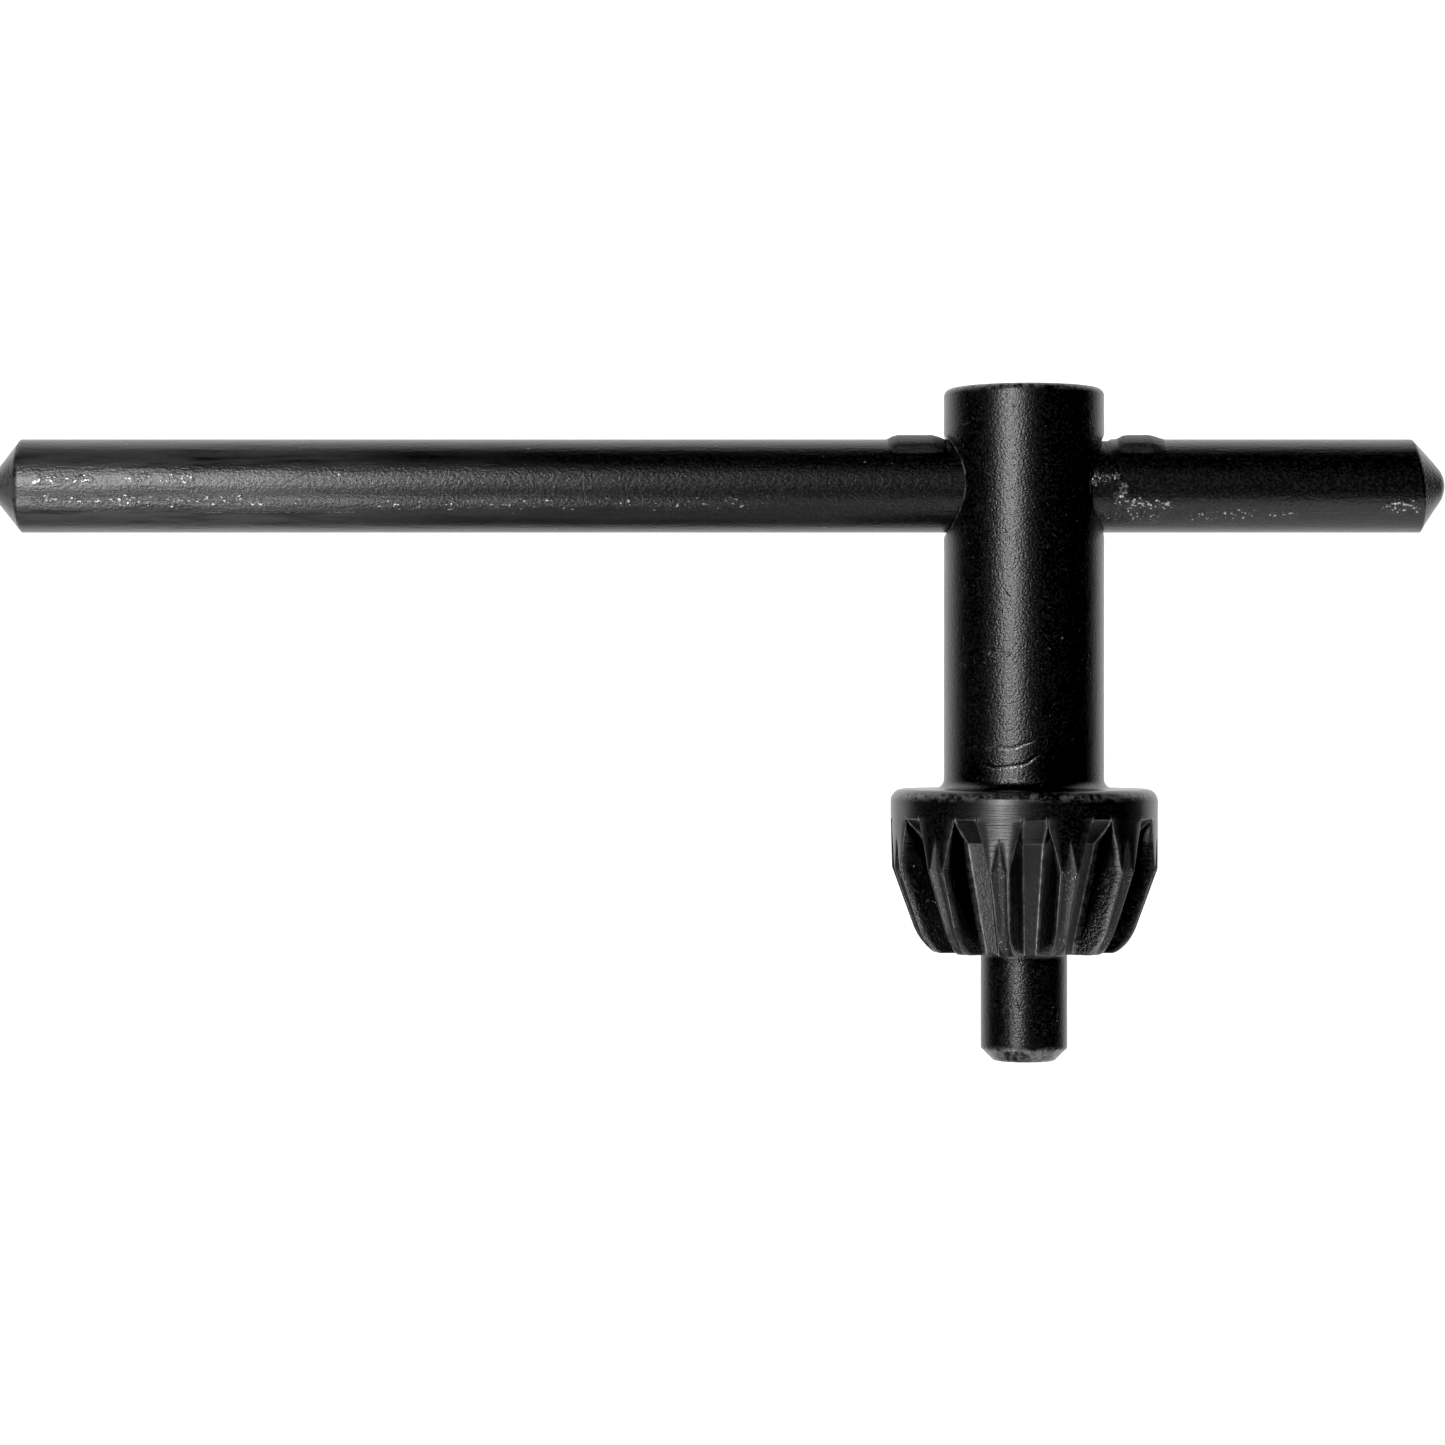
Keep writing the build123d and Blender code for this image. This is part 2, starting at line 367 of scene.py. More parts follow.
# bare lips under the laps, as lines of the same kind
LIP_DROP = 0.00007
SHANK_LIPS = [((x0, z0 - LIP_DROP), (x1, z1 - LIP_DROP), 0.00006)
              for nick, _, _ in SHANK_NICKS for (x0, z0), (x1, z1) in zip(nick, nick[1:])]
PILOT_SCRATCHES = (((-0.00078, 0.00470), (-0.00062, 0.00404), 0.00006),)


def wavy(x, y, z, size, seed):
    """Smooth noise, about -1 to 1, whose features are about size metres across."""
    return noise.noise(Vector((x / size + seed, y / size, z / size)))


def nick_depth(x, z):
    """Depth of the laps and the knock there below the shank's surface."""
    deepest = 0.0
    for points, half_width, depth in SHANK_NICKS:
        if not points[0][0] - 3 * half_width < x < points[-1][0] + 3 * half_width:
            continue
        along = [p[0] for p in points]
        line = float(np.interp(x, along, [p[1] for p in points]))
        fade = min(1.0, max(0.0, (x - along[0]) / 0.0003 + 1), max(0.0, (along[-1] - x) / 0.0003 + 1))
        width = half_width * (1.4 if z > line else 0.6)
        deepest = max(deepest, depth * fade * math.exp(-((z - line) / width) ** 2))
    return deepest


def key_relief(x, y, z, groove, burr):
    """How far the forged skin lies inside the nominal shape there."""
    depth = 0.000006 * (1 + wavy(x, y, z, 0.0030, 3)) + 0.0000025 * (1 + wavy(x, y, z, 0.0008, 7))
    if y < 0 and z > COLLAR_TOP_Z:
        depth += nick_depth(x, z)
    depth += groove * 0.000022 * (1 + wavy(x, y, z, 0.00028, 5))
    depth += burr * 0.00004 * (1 + wavy(x, y, z, 0.00022, 23))
    return depth


def bore_window(rings):
    """Ring numbers and half column count of the patch of shank round the cross hole."""
    heights = np.array([ring[0, 2] for ring in rings])
    radii = np.array([np.hypot(*ring[0, :2]) for ring in rings])
    reach = BORE_R + BORE_MOUTH + 0.0004
    on_shank = np.nonzero((abs(radii - SHANK_R) < 1e-7) & (heights > HANDLE_Z - 0.01))[0]
    low = max(i for i in on_shank if heights[i] < HANDLE_Z - reach)
    high = min(i for i in on_shank if heights[i] > HANDLE_Z + reach)
    half = int(math.ceil(math.asin(reach / SHANK_R) / (2 * math.pi / COLUMNS)))
    return low, high, half


def bridge(faces, outer, inner):
    """Joins two closed rows of the same number of points with faces."""
    for k in range(len(outer)):
        n = (k + 1) % len(outer)
        faces.append((outer[k], outer[n], inner[n], inner[k]))


def bore_mouths(points, faces, window):
    """Fills both windows with rings that close in to the mouth, and returns the inmost rings."""
    low, high, half = window

    def at(row, column):
        return row * COLUMNS + column % COLUMNS

    mouth_r = BORE_R + BORE_MOUTH
    inmost = []
    for side, sign in ((0, 1), (COLUMNS // 2, -1)):
        columns = range(side - half, side + half + 1)
        border = [at(low, c) for c in columns]
        border += [at(r, side + half) for r in range(low + 1, high)]
        border += [at(high, c) for c in reversed(columns)]
        border += [at(r, side - half) for r in reversed(range(low + 1, high))]
        start = np.array([points[i][:3] for i in border])
        around = np.arctan2(start[:, 2] - HANDLE_Z, start[:, 1])
        across, up = np.cos(around), np.sin(around)
        steps = []
        for share in (0.25, 0.5, 0.75, 1.0):
            y = start[:, 1] * (1 - share) + mouth_r * across * share
            z = (start[:, 2] - HANDLE_Z) * (1 - share) + mouth_r * up * share
            steps.append((y, z, np.sqrt(SHANK_R ** 2 - y ** 2), 0.0))
        for a, rim in ((18, 0.6), (36, 1), (54, 1), (72, 0.8), (90, 0.4)):
            a = math.radians(a)
            r = BORE_R + BORE_MOUTH * (1 - math.sin(a))
            y, z = r * across, r * up
            depth = BORE_MOUTH * (1 - math.cos(a))
            steps.append((y, z, np.sqrt(SHANK_R ** 2 - y ** 2) - depth, rim))
        previous = border
        for y, z, x, rim in steps:
            base = len(points)
            for k in range(len(border)):
                points.append((sign * x[k], y[k], HANDLE_Z + z[k], 0, 0, 0, 0, 0, rim))
            ring = list(range(base, base + len(border)))
            bridge(faces, previous, ring)
            previous = ring
        inmost.append(previous)
    return inmost


def build_key_body():
    teeth = tooth_rings()
    rings = pilot_rings() + teeth + collar_rings(teeth[-1]) + shank_rings()
    window = bore_window(rings)
    low, high, half = window
    points = [tuple(p) for ring in rings for p in ring]
    faces = []
    open_columns = {c % COLUMNS for side in (0, COLUMNS // 2) for c in range(side - half, side + half)}
    for row in range(len(rings) - 1):
        for column in range(COLUMNS):
            if low <= row < high and column in open_columns:
                continue
            a, b = row * COLUMNS + column, row * COLUMNS + (column + 1) % COLUMNS
            faces.append((a, b, b + COLUMNS, a + COLUMNS))
    # end caps
    top_row = (len(rings) - 1) * COLUMNS
    for start, z, upward in ((0, 0.0, False), (top_row, TOP_Z, True)):
        middle = len(points)
        points.append((0.0, 0.0, z, 0, 0, 0, 0, 0, 0))
        for column in range(COLUMNS):
            a, b = start + column, start + (column + 1) % COLUMNS
            faces.append((middle, a, b) if upward else (middle, b, a))

    near, far = bore_mouths(points, faces, window)
    # the two mouths mirror each other, so match their points by side and height
    find = {(round(points[i][1] * 1e7), round(points[i][2] * 1e7)): i for i in far}
    matched = [find[(round(points[i][1] * 1e7), round(points[i][2] * 1e7))] for i in near]
    start, end = (np.array([points[i] for i in part]) for part in (near, matched))
    previous = near
    for share in np.linspace(0, 1, 10)[1:-1]:
        base = len(points)
        between = (start * (1 - share) + end * share) * ([1] * 3 + [0] * len(KEY_MARKS))
        points += [tuple(p) for p in between]
        ring = list(range(base, base + len(near)))
        bridge(faces, previous, ring)
        previous = ring
    bridge(faces, previous, matched)

    points = np.array(points)
    # the forged skin, which stops short of the cross hole's mouths
    for i in range(len(rings) * COLUMNS):
        x, y, z = points[i, :3]
        r = math.hypot(x, y)
        if r > PILOT_R * 0.9 and z < TOP_Z - TOP_ROUNDING:
            if math.hypot(y, z - HANDLE_Z) < BORE_R + BORE_MOUTH + 0.0007 and z > HANDLE_Z - 0.006:
                continue
            points[i, :2] *= 1 - key_relief(x, y, z, points[i, 5], points[i, 6]) / r
    marks = {name: points[:, 3 + k] for k, name in enumerate(KEY_MARKS)}
    return make_piece("key_body_forging", points[:, :3].tolist(), faces, marks)


def make_piece(name, vertices, faces, marks=None):
    """A smooth-shaded object; each mark becomes an attribute that the materials read."""
    mesh = bpy.data.meshes.new(name)
    mesh.from_pydata(vertices, [], faces)
    mesh.shade_smooth()
    for mark, values in (marks or {}).items():
        layer = mesh.attributes.new(mark, "FLOAT", "POINT")
        layer.data.foreach_set("value", np.asarray(values, np.float32))
    piece = bpy.data.objects.new(name, mesh)
    scene.collection.objects.link(piece)
    return piece


# ------------------------------------------------------------------ handle bar
LONG_SHOULDER_X = -0.0751
SHORT_SHOULDER_X = 0.0293
SHORT_SKEW = 0.00035
SKEW_REACH = 0.003
END_HALF_ANGLE = math.radians(51)
TIP_ROUNDING = 0.0022
EAR_HALF_SPREAD = math.radians(52)
EAR_EASE = 0.30
NECK_HALF_SPREAD = math.radians(62)
# height over or under the bar's radius from which the metal counts as swaged
SWAGED_FROM = 0.00006
# ears: place along the bar and height over the bar's radius; the neck by the short ear is pinched
LONG_EAR = ((-0.0103, 0), (-0.0099, 0.00024), (-0.0095, 0.00034), (-0.0069, 0.00034), (-0.0064, 0.0002),
            (-0.0060, 0.00003))
SHORT_EAR = ((0.0056, -0.00004), (0.0059, -0.00012), (0.0063, -0.00012), (0.00642, 0), (0.0069, 0.00004),
             (0.0074, 0.0003), (0.0078, 0.00034), (0.0094, 0.00034), (0.0098, 0.00022), (0.0105, 0))
BAR_COLUMNS = 168
BAR_ROWS = 340
# closer rows at the ears and at the chipped places: x range and number
CLOSE_ROWS = (
    (-0.0107, -0.0058, 40),
    (0.0046, 0.0110, 60),
    (0.0262, 0.0293, 24),
    (-0.0748, -0.0650, 50),
)
LEAST_ROW_GAP = 0.00002
BAR_MARKS = ("wear", "scar", "cone", "swaged")
# chipped and bruised places on the bar's front: x range, z range, strength
BAR_SCARS = (
    (-0.0735, -0.0690, 0.04310, 0.04360, 0.7),
    (-0.0668, -0.0655, 0.04320, 0.04365, 0.6),
    (-0.0645, -0.0618, 0.04300, 0.04375, 0.35),
    (-0.0738, -0.0580, 0.04155, 0.04195, 0.7),
    (-0.0585, -0.0530, 0.04130, 0.04165, 0.5),
    (-0.0480, -0.0200, 0.04110, 0.04180, 0.25),
    (0.0046, 0.0066, 0.04312, 0.04362, 1.0),
    (0.0067, 0.0076, 0.04150, 0.04300, 1.0),
    (0.0074, 0.0108, 0.04110, 0.04180, 1.0),
    (0.0054, 0.0100, 0.04040, 0.04100, 0.4),
    (0.0120, 0.0200, 0.04050, 0.04090, 0.35),
    (0.0262, 0.0294, 0.04095, 0.04175, 1.0),
)
# scratches and a long rubbed line on the bar's front: start and end (x, z), half width
BAR_SCRATCHES = (
    ((-0.0549, 0.04308), (-0.0531, 0.04390), 0.00007),
    ((-0.0336, 0.04285), (-0.0333, 0.04310), 0.00006),
    ((-0.0394, 0.04105), (-0.0380, 0.04080), 0.00005),
    ((-0.0470, 0.04408), (-0.0462, 0.04410), 0.00007),
    ((-0.0735, 0.04182), (-0.0580, 0.04160), 0.00008),
    ((-0.0610, 0.04088), (-0.0500, 0.04092), 0.00005),
    ((0.0140, 0.04120), (0.0240, 0.04116), 0.00004),
    ((0.0180, 0.04085), (0.0270, 0.04088), 0.00004),
)


def end_profile(steps):
    """A bar end from its shoulder to its tip: (distance past the shoulder, radius)."""
    apex = BAR_R / math.tan(END_HALF_ANGLE)
    centre = apex - TIP_ROUNDING / math.sin(END_HALF_ANGLE)
    cone_end = centre + TIP_ROUNDING * math.sin(END_HALF_ANGLE)
    profile = []
    for share in np.linspace(0, 1, steps)[:-1]:
        x = cone_end * share
        profile.append((x, BAR_R - x * math.tan(END_HALF_ANGLE)))
    for a in np.linspace(math.pi / 2 - END_HALF_ANGLE, 0, 8)[:-1]:
        profile.append((centre + TIP_ROUNDING * math.cos(a), TIP_ROUNDING * math.sin(a)))
    return profile, centre + TIP_ROUNDING


def soft_step(value):
    """0 up to value 0, rising smoothly to 1 at value 1."""
    value = min(1.0, max(0.0, value))
    return value * value * (3 - 2 * value)


def soft_range(value, low, high, ease):
    """1 from low to high and 0 outside, with soft ends."""
    return soft_step((value - low) / ease + 0.5) * soft_step((high - value) / ease + 0.5)


def ear_height(x, away):
    """Height of the staked ears over the bar at that place and angle from the top."""
    ear = LONG_EAR if x < 0 else SHORT_EAR
    height = float(np.interp(x, [p[0] for p in ear], [p[1] for p in ear], 0, 0))
    if height < 0:
        return height * soft_step(1 - away / NECK_HALF_SPREAD)
    return height * soft_step((EAR_HALF_SPREAD - away) / EAR_EASE)


def scar_at(x, y, z):
    """How scarred the bar's front is there."""
    if y > 0:
        return 0.0
    scar = 0.0
    for x_low, x_high, z_low, z_high, strength in BAR_SCARS:
        ragged = 0.0004 * wavy(x, 0.0, z, 0.0008, 31)
        along = soft_range(x + 2 * ragged, x_low, x_high, 0.0008)
        place = along * soft_range(z + ragged, z_low, z_high, 0.0005)
        scar = max(scar, strength * place)
    return scar


def wear_at(x, y, z):
    """How worn the bar is: its long end is rubbed bright, with a ragged start."""
    ragged = 0.003 * wavy(x * 0.3, y, z, 0.0016, 41) + 0.0008 * wavy(x, y, z, 0.0007, 43)
    ragged += 0.0015 * soft_step((HANDLE_Z - z) / 0.002)
    far = soft_step((-0.0450 - x + ragged) / 0.0150)
    belly = soft_step((-0.0300 - x + 3 * ragged) / 0.016)
    return 0.7 * far + 0.3 * belly


def build_handle_bar():
    profile, tip = end_profile(12)
    body = list(np.linspace(LONG_SHOULDER_X, SHORT_SHOULDER_X, BAR_ROWS))
    for low_x, high_x, count in CLOSE_ROWS:
        body += list(np.linspace(low_x, high_x, count))
    body.sort()
    body = [x for k, x in enumerate(body) if k == 0 or x - body[k - 1] > LEAST_ROW_GAP]
    rows = [(LONG_SHOULDER_X - x, r) for x, r in reversed(profile[1:])]
    rows += [(x, BAR_R) for x in body]
    rows += [(SHORT_SHOULDER_X + x, r) for x, r in profile[1:]]
    angles = np.arange(BAR_COLUMNS) * 2 * math.pi / BAR_COLUMNS
    points, faces = [], []
    for row_x, r in rows:
        skew_share = min(soft_step((row_x - SHORT_SHOULDER_X) / SKEW_REACH + 1), (r / BAR_R) ** 2)
        for a in angles:
            x = row_x - SHORT_SKEW * math.cos(a) * skew_share
            away = abs((a + math.pi) % (2 * math.pi) - math.pi)
            local = r + (ear_height(row_x, away) if r == BAR_R else 0.0)
            y, z = -local * math.sin(a), HANDLE_Z + local * math.cos(a)
            scar = scar_at(x, y, z)
            on_cone = 1.0 - soft_step((r - BAR_R) / 0.00005 + 1)
            depth = 0.000003 * (1 + wavy(x * 0.12, y, z, 0.0009, 51))
            depth += scar * 0.00002 * (1 + 1.5 * wavy(x, y, z, 0.00025, 53))
            swaged = min(1.0, abs(local - r) / SWAGED_FROM)
            depth += swaged * 0.000012 * (1 + wavy(x, y, z, 0.0004, 57))
            points.append((x, y * (1 - depth / local), HANDLE_Z + (z - HANDLE_Z) * (1 - depth / local),
                           wear_at(x, y, z), scar, on_cone, swaged))
    for row in range(len(rows) - 1):
        for k in range(BAR_COLUMNS):
            a, b = row * BAR_COLUMNS + k, row * BAR_COLUMNS + (k + 1) % BAR_COLUMNS
            faces.append((a, b, b + BAR_COLUMNS, a + BAR_COLUMNS))
    last_row = (len(rows) - 1) * BAR_COLUMNS
    for start, x, outward in ((0, LONG_SHOULDER_X - tip, False), (last_row, SHORT_SHOULDER_X + tip, True)):
        middle = len(points)
        points.append((x, 0.0, HANDLE_Z, 0, 0, 1, 0))
        for k in range(BAR_COLUMNS):
            a, b = start + k, start + (k + 1) % BAR_COLUMNS
            faces.append((middle, a, b) if outward else (middle, b, a))
    points = np.array(points)
    marks = {name: points[:, 3 + k] for k, name in enumerate(BAR_MARKS)}
    return make_piece("handle_bar_drawn", points[:, :3].tolist(), faces, marks)


# ------------------------------------------------------------------ materials
BARE_METAL = (0.50, 0.51, 0.50, 1)


class Recipe:
    """Short names for the nodes that a material is made of."""

    def __init__(self, name):
        self.material = bpy.data.materials.new(name)
        self.material.use_nodes = True
        self.tree = self.material.node_tree
        self.shader = self.tree.nodes["Principled BSDF"]
        self.place = self.tree.nodes.new("ShaderNodeTexCoord").outputs["Object"]

    def feed(self, socket, value):
        if isinstance(value, bpy.types.NodeSocket):
            self.tree.links.new(value, socket)
        else:
            socket.default_value = value

    def add(self, kind, out=0, settings=None, **inputs):
        node = self.tree.nodes.new(kind)
        for name, value in (settings or {}).items():
            setattr(node, name, value)
        for name, value in inputs.items():
            self.feed(node.inputs[name.replace("_", " ")], value)
        return node.outputs[out]

    def times(self, a, b):
        return self.math("MULTIPLY", a, b)

    def most(self, a, b):
        return self.math("MAXIMUM", a, b)

    def math(self, operation, a, b=0.0):
        node = self.tree.nodes.new("ShaderNodeMath")
        node.operation = operation
        self.feed(node.inputs[0], a)
        self.feed(node.inputs[1], b)
        return node.outputs[0]

    def vector(self, operation, a, b=None, scale=None, out=0):
        node = self.tree.nodes.new("ShaderNodeVectorMath")
        node.operation = operation
        self.feed(node.inputs[0], a)
        if b is not None:
            self.feed(node.inputs[1], b)
        if scale is not None:
            self.feed(node.inputs["Scale"], scale)
        return node.outputs[out]

    def noise(self, size, detail=2.0, rough=0.5, stretch=(1, 1, 1)):
        """Noise from 0 to 1 whose features are about size metres across."""
        per_axis = [s / size for s in stretch]
        return self.add("ShaderNodeTexNoise", Vector=self.vector("MULTIPLY", self.place, per_axis),
                        Scale=1.0, Detail=detail, Roughness=rough)

    def spots(self, size, reach):
        """Scattered spots in cells about size metres across, 1 at each one's middle, and a random
        number for each cell."""
        node = self.tree.nodes.new("ShaderNodeTexVoronoi")
        self.feed(node.inputs["Vector"], self.vector("MULTIPLY", self.place, [1 / size] * 3))
        node.inputs["Scale"].default_value = 1.0
        chance = self.add("ShaderNodeSeparateColor", Color=node.outputs["Color"])
        near = self.between(node.outputs["Distance"], reach, reach * 0.4)
        return near, chance

    def between(self, value, low, high, kind="SMOOTHSTEP"):
        """0 at low rising to 1 at high, clamped, with soft ends; low may be over high."""
        node = self.tree.nodes.new("ShaderNodeMapRange")
        node.interpolation_type = kind
        self.feed(node.inputs["Value"], value)
        falling = low > high
        node.inputs["From Min"].default_value = min(low, high)
        node.inputs["From Max"].default_value = max(low, high)
        node.inputs["To Min"].default_value = 1.0 if falling else 0.0
        node.inputs["To Max"].default_value = 0.0 if falling else 1.0
        return node.outputs[0]

    def mix(self, share, a, b):
        """Number a where share is 0, b where it is 1."""
        node = self.tree.nodes.new("ShaderNodeMix")
        node.data_type = "FLOAT"
        self.feed(node.inputs[0], share)
        self.feed(node.inputs[2], a)
        self.feed(node.inputs[3], b)
        return node.outputs[0]

    def mark(self, name):
        """A mark that the mesh carries at its vertices."""
        return self.add("ShaderNodeAttribute", out=2, settings={"attribute_name": name})

    def scratches(self, lines, surface_y):
        """1 along short lines on the front, fading over each one's half width."""
        wobble = self.times(self.noise(0.0002, 3.0, 0.7), 0.00006)
        deepest = 0.0
        for (x0, z0), (x1, z1), half_width in lines:
            start = Vector((x0, surface_y(x0, z0), z0))
            along = Vector((x1, surface_y(x1, z1), z1)) - start
            offset = self.vector("SUBTRACT", self.place, start)
            share = self.times(self.vector("DOT_PRODUCT", offset, along, out=1), 1 / along.length_squared)
            foot = self.vector("SCALE", along, scale=self.between(share, 0, 1, "LINEAR"))
            gap = self.vector("DISTANCE", offset, foot, out=1)
            gap = self.math("ADD", gap, wobble)
            deepest = self.most(deepest, self.between(gap, half_width * 1.4, half_width * 0.4))
        return deepest

    def bump(self, height, distance, below=None):
        """Raises the surface by height times distance in metres."""
        node = self.tree.nodes.new("ShaderNodeBump")
        node.inputs["Distance"].default_value = distance
        self.feed(node.inputs["Height"], height)
        if below:
            self.feed(node.inputs["Normal"], below)
        return node.outputs[0]

    def steel(self, shade, bare, roughness, normal):
        """Blackened steel whose grey is shade, showing bare metal by the share bare."""
        skin = self.add("ShaderNodeCombineColor", Red=shade, Green=self.times(shade, 1.02), Blue=shade)
        node = self.tree.nodes.new("ShaderNodeMix")
        node.data_type = "RGBA"
        self.feed(node.inputs[0], bare)
        self.feed(node.inputs[6], skin)
        node.inputs[7].default_value = BARE_METAL
        self.feed(self.shader.inputs["Base Color"], node.outputs[2])
        self.feed(self.shader.inputs["Metallic"], bare)
        self.feed(self.shader.inputs["Roughness"], roughness)
        self.feed(self.shader.inputs["Normal"], normal)
        return self.material


# y of a round surface's front at a place (x, z) on it
def shank_front(x, z):
    return -math.sqrt(SHANK_R ** 2 - x ** 2)


def pilot_front(x, z):
    return -math.sqrt(PILOT_R ** 2 - x ** 2)


def bar_front(x, z):
    return -math.sqrt(BAR_R ** 2 - (z - HANDLE_Z) ** 2)


def key_steel(name):
    """Blackened forging: fine blasted skin, ground slot floors, torn grooves, bright worn edges, and a
    painted highlight of lighter grey on the rounded rims.
    """
    r = Recipe(name)
    floor, edge, groove, burr, flank, rim = (r.mark(mark) for mark in KEY_MARKS)
    grain = r.noise(0.00017, 2.0, 0.55)
    patch = r.noise(0.0011, 3.0, 0.55)
    torn = r.noise(0.00022, 4.0, 0.7)
    flecks = r.noise(0.00016, 2.0, 0.6)
    skin = r.noise(0.00017, 2.0, 0.5)
    near, chance = r.spots(0.0012, 0.09)
    lone_flecks = r.times(near, r.between(chance, 0.95, 0.96))
    # patches of rubbing: they bare the edges, and also gate where the rims get their painted highlight of
    # lighter grey
    rub = r.noise(0.0005, 3.0, 0.6)
    height_up = r.add("ShaderNodeSeparateXYZ", out=2, Vector=r.place)
    turned = r.times(r.between(height_up, CONE_TOP_Z - 0.0002, CONE_TOP_Z + 0.0004),
                    r.between(height_up, COLLAR_TOP_Z + 0.0001, COLLAR_TOP_Z - 0.0002))
    rings = r.noise(0.00016, 2.0, 0.6, (0.04, 0.04, 1))
    scratches = r.scratches(SHANK_SCRATCHES, shank_front)
    pilot_scratches = r.scratches(PILOT_SCRATCHES, pilot_front)
    bright_knocks = r.scratches(SHANK_FLECKS, shank_front)
    lips = r.scratches(SHANK_LIPS, shank_front)
    lips = r.times(lips, r.between(flecks, 0.46, 0.58))

    bare = r.times(edge, r.mix(r.between(rub, 0.38, 0.60), 0.16, 0.5))
    thin_skin = r.mix(r.most(floor, flank), r.between(skin, 0.42, 0.68), 0.0)
    bare = r.most(bare, r.times(thin_skin, 0.018))
    flecked = ((0.5, groove, 0.64, 0.70), (1.0, burr, 0.60, 0.66), (0.3, rim, 0.58, 0.66))
    for share, where, low, high in flecked:
        part = r.times(r.times(where, r.between(flecks, low, high)), share)
        bare = r.most(bare, part)
    bare = r.most(bare, r.times(r.most(lone_flecks, bright_knocks), 0.4))
    bare = r.most(bare, r.times(lips, 0.9))

    shade = r.mix(patch, 0.0004, 0.0020)
    shade = r.mix(flank, shade, r.mix(patch, 0.0005, 0.0030))
    shade = r.mix(floor, shade, r.mix(torn, 0.001, 0.016))
    shade = r.mix(groove, shade, r.mix(torn, 0.001, 0.010))
    # painted highlight: a lighter grey on the rounded rims, in patches, standing in for the thin bright
    # line that a light overhead would put there
    shade = r.mix(r.times(rim, r.between(rub, 0.42, 0.62)), shade, 0.18)
    roughness = r.mix(grain, 0.275, 0.285)
    roughness = r.mix(turned, roughness, 0.30)
    roughness = r.mix(flank, roughness, 0.20)
    roughness = r.mix(floor, roughness, 0.29)
    roughness = r.mix(groove, roughness, 0.52)

    pits = r.between(r.noise(0.00035, 2.0, 0.5), 0.32, 0.24)
    height = r.math("SUBTRACT", grain, r.times(pits, 0.6))
    height = r.mix(turned, height, r.times(rings, 0.6))
    normal = r.bump(height, 0.000035)
    coarse = r.most(groove, r.times(r.most(floor, flank), 0.3))
    normal = r.bump(r.times(torn, coarse), 0.00005, normal)
    dents = r.most(r.most(scratches, pilot_scratches), bright_knocks)
    normal = r.bump(r.times(dents, -1.0), 0.00004, normal)
    return r.steel(shade, bare, roughness, normal)


def bar_steel(name):
    """Drawn rod: blackened, streaked lengthwise, rubbed grey at its long end, chipped in places."""
    r = Recipe(name)
    wear, scar, cone, swaged = (r.mark(mark) for mark in BAR_MARKS)
    streaks = r.noise(0.00022, 3.0, 0.6, (0.12, 1, 1))
    broad_streaks = r.noise(0.0008, 3.0, 0.6, (0.10, 1, 1))
    grain = r.noise(0.00017, 2.0, 0.55, (0.7, 1, 1))
    turned = r.noise(0.00012, 2.0, 0.6, (1, 0.02, 0.02))
    torn = r.noise(0.00022, 4.0, 0.7)
    skin = r.noise(0.00017, 2.0, 0.5, (0.8, 1, 1))
    chip_noise = r.math("ADD", r.noise(0.00020, 2.0, 0.5, (0.7, 1, 1)), r.times(scar, 0.13))
    chips = r.times(r.between(chip_noise, 0.67, 0.74), r.between(scar, 0.02, 0.12))
    near, chance = r.spots(0.0010, 0.10)
    lone_flecks = r.times(near, r.between(chance, 0.86, 0.88))
    broken = r.between(r.noise(0.0005, 3.0, 0.7), 0.45, 0.55)
    scratches = r.scratches(BAR_SCRATCHES, bar_front)
    scratches = r.times(scratches, broken)

    rubbed = r.times(wear, r.between(broad_streaks, 0.25, 0.55))
    bare = r.times(chips, 0.8)
    thin_skin = r.between(skin, 0.42, 0.68)
    for share, part in ((0.018, thin_skin), (0.4, lone_flecks), (0.25, scratches), (0.09, rubbed)):
        bare = r.most(bare, r.times(part, share))
    shade = r.mix(broad_streaks, 0.0004, 0.0025)
    shade = r.mix(rubbed, shade, r.mix(grain, 0.001, 0.009))
    shade = r.mix(r.times(scar, 0.3), shade, 0.03)
    shade = r.mix(cone, shade, r.times(r.mix(turned, 0.2, 1.0), r.mix(wear, 0.006, 0.030)))
    roughness = r.mix(streaks, 0.275, 0.285)
    roughness = r.mix(cone, roughness, 0.24)
    roughness = r.mix(swaged, roughness, 0.46)

    height = r.math("ADD", r.times(streaks, 0.8), grain)
    normal = r.bump(height, 0.000026)
    normal = r.bump(r.times(r.noise(0.00020, 2.0, 0.5), scar), 0.00009, normal)
    normal = r.bump(r.times(turned, cone), 0.000006, normal)
    normal = r.bump(r.times(torn, swaged), 0.00006, normal)
    normal = r.bump(r.times(scratches, -1.0), 0.00003, normal)
    return r.steel(shade, bare, roughness, normal)


key = build_key_body()
bar = build_handle_bar()
for piece, node, body, slot, finish in ((key, "key_body", "key", "key_body_steel", key_steel),
                                        (bar, "handle_bar", "handle", "handle_bar_steel", bar_steel)):
    piece.data.materials.append(finish(slot))
    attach(piece, body)
    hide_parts(node)

# ------------------------------------------------------------------ stage, lights, camera
FLOOR_Z = -0.25
SWEEP_FRONT_Y = 0.19
SWEEP_BACK_Y = 0.60
SWEEP_TOP_Z = 0.55
SWEEP_HALF_WIDTH = 1.0
SWEEP_BEND = 0.2
SWEEP_GLOW = 0.74
CEILING_FRONT_Y = 0.12
DOME_R = 2.6
AIM = Vector((0.0, 0.0, 0.038))


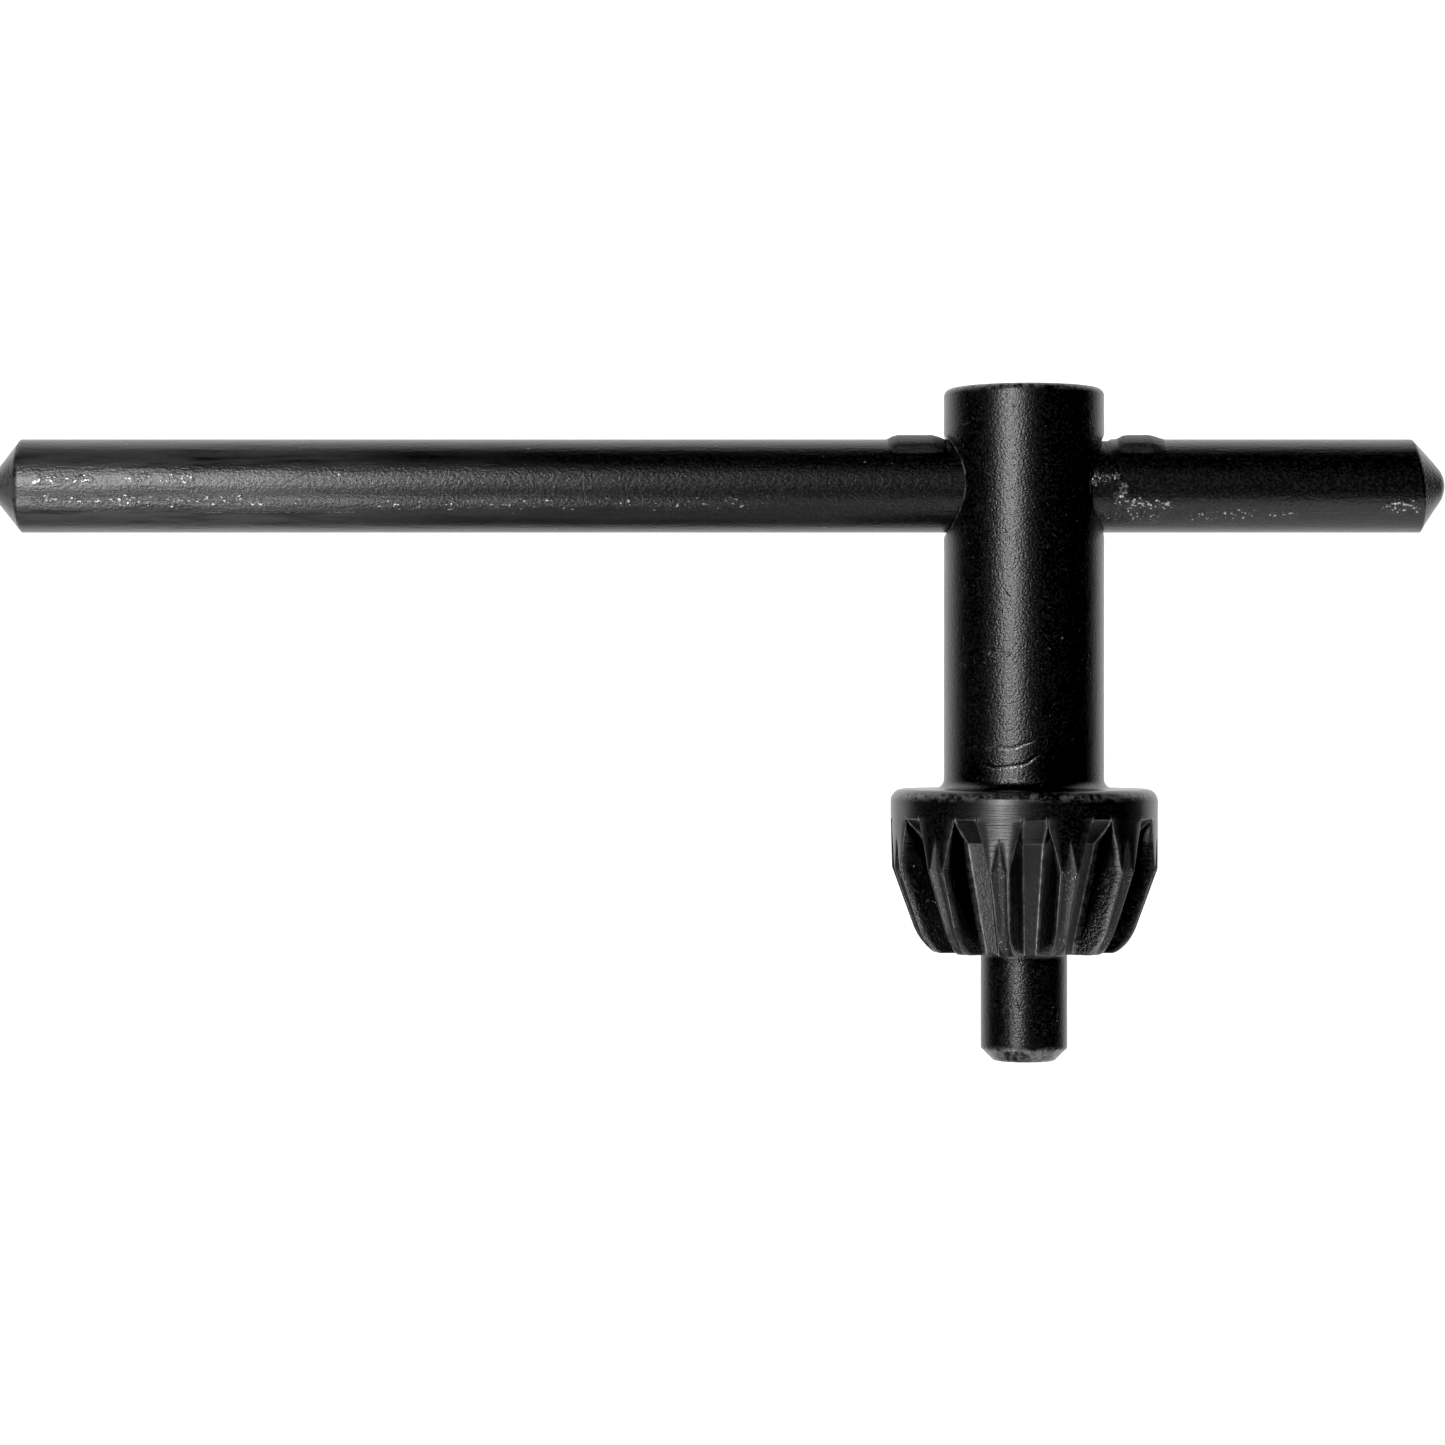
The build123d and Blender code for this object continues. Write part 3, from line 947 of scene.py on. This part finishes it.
def glowing(name, level):
    """A plain pale studio surface with its own even light."""
    material = bpy.data.materials.new(name)
    material.use_nodes = True
    shader = material.node_tree.nodes["Principled BSDF"]
    shader.inputs["Base Color"].default_value = (0.8, 0.8, 0.8, 1)
    shader.inputs["Roughness"].default_value = 0.9
    shader.inputs["Emission Color"].default_value = (1, 1, 1, 1)
    shader.inputs["Emission Strength"].default_value = level
    return material


def camera_only(piece):
    """Shows a surface to the camera alone, so that it lights and darkens nothing."""
    piece.visible_diffuse = False
    piece.visible_glossy = False
    piece.visible_transmission = False
    piece.visible_shadow = False
    return piece


def build_floor():
    """The pale floor under everything; it lights nothing."""
    corners = [(-DOME_R, -DOME_R), (DOME_R, -DOME_R), (DOME_R, DOME_R), (-DOME_R, DOME_R)]
    floor = make_piece("studio_floor", [(x, y, FLOOR_Z) for x, y in corners], [(0, 1, 2, 3)])
    floor.data.materials.append(glowing("pale_floor", 1.0))
    return camera_only(floor)


def build_sweep():
    """A pale card behind the object that curves over into a ceiling and under into a floor."""
    path = [(SWEEP_FRONT_Y, FLOOR_Z + 0.002), (SWEEP_BACK_Y, FLOOR_Z + 0.002)]
    path += [(SWEEP_BACK_Y, SWEEP_TOP_Z - SWEEP_BEND)]
    for a in np.radians(np.linspace(0, 90, 10)):
        path.append((SWEEP_BACK_Y - SWEEP_BEND * (1 - math.cos(a)),
                     SWEEP_TOP_Z - SWEEP_BEND * (1 - math.sin(a))))
    path.append((CEILING_FRONT_Y, SWEEP_TOP_Z))
    vertices = [(x, y, z) for y, z in path for x in (-SWEEP_HALF_WIDTH, SWEEP_HALF_WIDTH)]
    faces = [(2 * k, 2 * k + 1, 2 * k + 3, 2 * k + 2) for k in range(len(path) - 1)]
    sweep = make_piece("studio_sweep", vertices, faces)
    sweep.data.materials.append(glowing("pale_sweep", SWEEP_GLOW))
    return sweep


def build_dome():
    """The pale room that other views see; it lights nothing."""
    vertices, faces = [], []
    rows, columns = 12, 24
    for i in range(rows + 1):
        up = math.pi * (i / rows - 0.5)
        for j in range(columns):
            turn = 2 * math.pi * j / columns
            vertices.append((DOME_R * math.cos(up) * math.cos(turn),
                             DOME_R * math.cos(up) * math.sin(turn), DOME_R * math.sin(up)))
    for i in range(rows):
        for j in range(columns):
            n = (j + 1) % columns
            faces.append((i * columns + j, i * columns + n, (i + 1) * columns + n, (i + 1) * columns + j))
    dome = make_piece("studio_room", vertices, faces)
    dome.data.materials.append(glowing("pale_room", 1.0))
    return camera_only(dome)


def area_light(name, width, height, radiance):
    """A rectangular light of even radiance, hidden from the camera, not placed yet."""
    data = bpy.data.lights.new(name, "AREA")
    data.shape = "RECTANGLE"
    data.size, data.size_y = width, height
    data.energy = radiance * math.pi * width * height
    light = bpy.data.objects.new(name, data)
    scene.collection.objects.link(light)
    light.visible_camera = False
    return light


def softbox(name, azimuth, elevation, distance, width, height, radiance):
    """A soft light seen from the key at that direction; azimuth 0 is towards the camera."""
    turn, lift = math.radians(azimuth), math.radians(elevation)
    away = Vector((math.sin(turn) * math.cos(lift), -math.cos(turn) * math.cos(lift), math.sin(lift)))
    light = area_light(name, width, height, radiance)
    light.location = AIM + away * distance
    light.rotation_euler = away.to_track_quat("Z", "Y").to_euler()


def floor_card(name, x, y, width, depth, radiance):
    """A soft light just above the floor that faces up."""
    card = area_light(name, width, depth, radiance)
    card.location = (x, y, FLOOR_Z + 0.01)
    card.rotation_euler = (math.pi, 0, 0)


build_floor()
build_sweep()
build_dome()
softbox("upper_left_softbox", azimuth=-23.7, elevation=10.5, distance=0.45,
        width=0.10, height=0.29, radiance=17.0)
softbox("lower_left_softbox", azimuth=-36, elevation=-37, distance=0.36,
        width=0.20, height=0.10, radiance=9.5)
floor_card("lower_right_card", x=0.27, y=-0.10, width=0.5, depth=0.52, radiance=1.3)
floor_card("lower_left_card", x=-0.25, y=-0.06, width=0.5, depth=0.16, radiance=0.5)

# the photo's view, and its blacks, which are clipped
BLACK_LEVEL = 0.004
camera_data = bpy.data.cameras.new("camera")
camera_data.sensor_width = 36
camera_data.lens = 92.2
camera_data.clip_start = 0.01
camera = bpy.data.objects.new("camera", camera_data)
scene.collection.objects.link(camera)
camera.location = (-0.0226, -0.2775, 0.0253)
camera.rotation_euler = (math.pi / 2, 0, 0)
scene.camera = camera
scene.view_settings.view_transform = "Standard"
scene.view_settings.use_curve_mapping = True
scene.view_settings.curve_mapping.black_level = (BLACK_LEVEL, BLACK_LEVEL, BLACK_LEVEL)
scene.view_settings.curve_mapping.update()
room = bpy.data.worlds.new("dark_room")
room.use_nodes = True
room.node_tree.nodes["Background"].inputs["Color"].default_value = (0.0, 0.0, 0.0, 1)
scene.world = room
